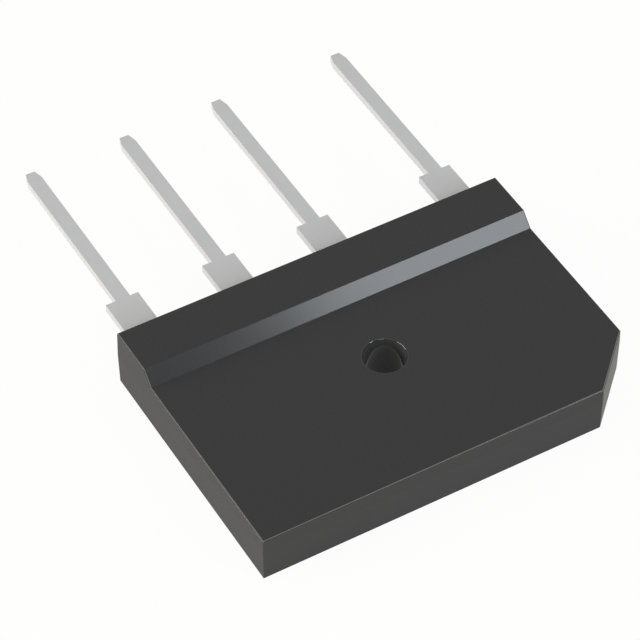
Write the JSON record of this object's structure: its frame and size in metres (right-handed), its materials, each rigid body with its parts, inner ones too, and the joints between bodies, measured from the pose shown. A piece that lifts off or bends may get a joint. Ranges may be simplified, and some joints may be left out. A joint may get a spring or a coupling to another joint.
{
  "type": "bridge rectifier",
  "caption": "Flat black moulded bridge rectifier with a raised band, a cut corner, a central screw hole and a row of straight flat leads along one side.",
  "frame": {"origin": "axis of the screw hole, at the flat back face that lies on the heat sink", "axes": "+Z out of the front face along the screw hole, +Y towards the leads, +X along the body's width towards the positive lead and the cut corner"},
  "size_m": [0.03, 0.0381, 0.0047],
  "materials": {
    "epoxy": "satin moulded epoxy",
    "tinned_copper": "dull tin plate",
    "copper": "bare stamped copper",
    "silicon": "lapped silicon",
    "solder": "solder"
  },
  "bodies": {
    "root": {"moulded_body": "epoxy", "lead_negative": "tinned_copper", "lead_ac_two": "tinned_copper", "lead_ac_one": "tinned_copper", "lead_positive": "tinned_copper", "chip_1": "silicon", "chip_2": "silicon", "chip_3": "silicon", "chip_4": "silicon", "die_solder_1": "solder", "die_solder_2": "solder", "die_solder_3": "solder", "die_solder_4": "solder", "clip_solder_1": "solder", "clip_solder_2": "solder", "clip_solder_3": "solder", "clip_solder_4": "solder", "clip_ac_one": "copper", "clip_ac_two": "copper", "clip_negative": "copper", "foot_solder_ac_one": "solder", "foot_solder_ac_two": "solder", "foot_solder_negative": "solder"}
  },
  "joints": []
}
